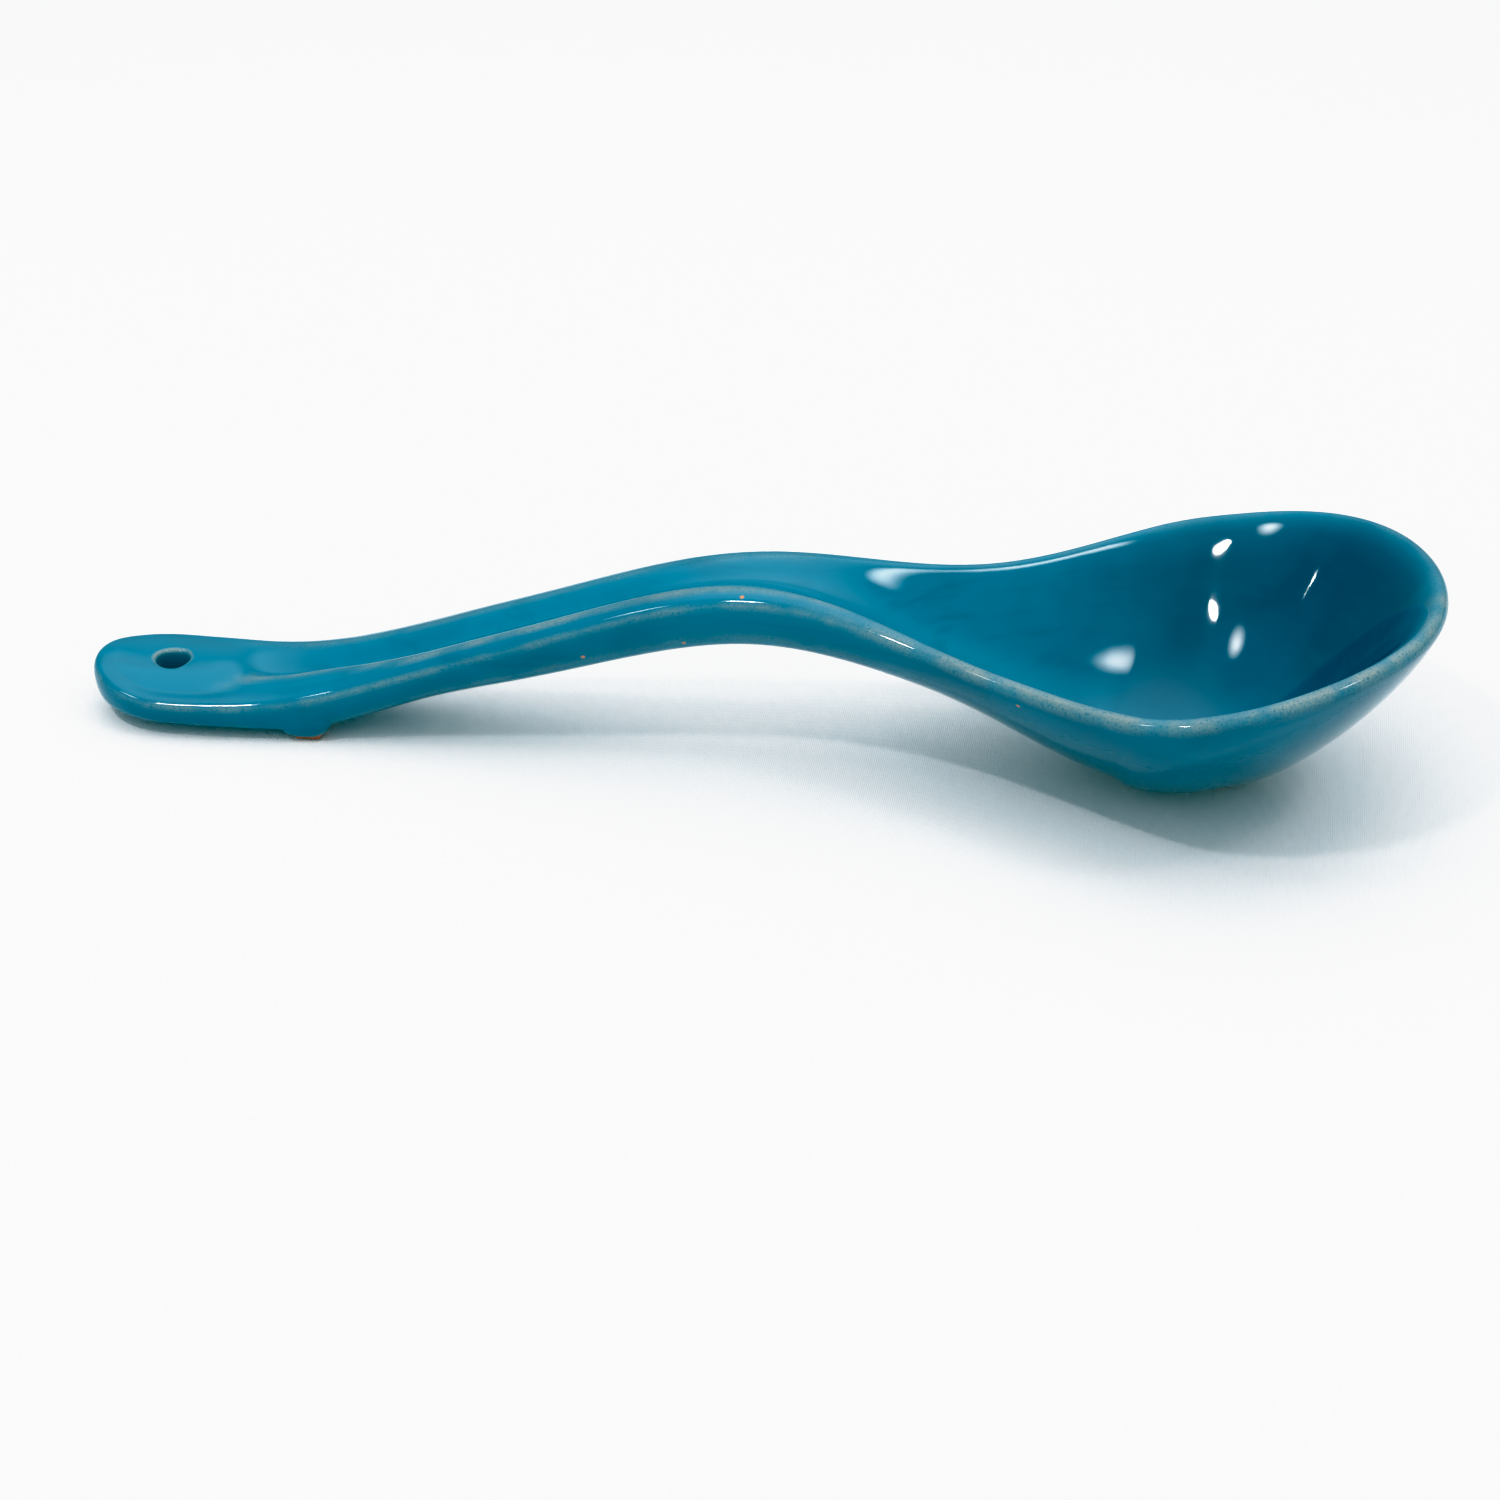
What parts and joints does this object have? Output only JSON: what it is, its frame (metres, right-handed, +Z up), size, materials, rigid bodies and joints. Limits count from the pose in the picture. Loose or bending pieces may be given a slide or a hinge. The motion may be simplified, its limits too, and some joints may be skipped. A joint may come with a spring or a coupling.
{
  "type": "serving spoon",
  "caption": "Glazed earthenware serving spoon: deep egg-shaped bowl, S-curved handle with a shallow trough, paddle end with a hanging hole, and a low foot bar under the handle.",
  "frame": {"origin": "halfway along the spoon on its mirror plane, on the table that it rests on", "axes": "+X from the handle's end to the bowl's tip, +Y across the bowl, +Z up from the table"},
  "size_m": [0.24, 0.0814, 0.0391],
  "materials": {
    "clay": "matt bare red earthenware",
    "glaze": "glossy teal glaze, brown-grey where it runs thin on edges"
  },
  "bodies": {
    "root": {"bowl": "clay", "handle": "clay", "handle_foot": "clay", "glaze_coat": "glaze"}
  },
  "joints": []
}
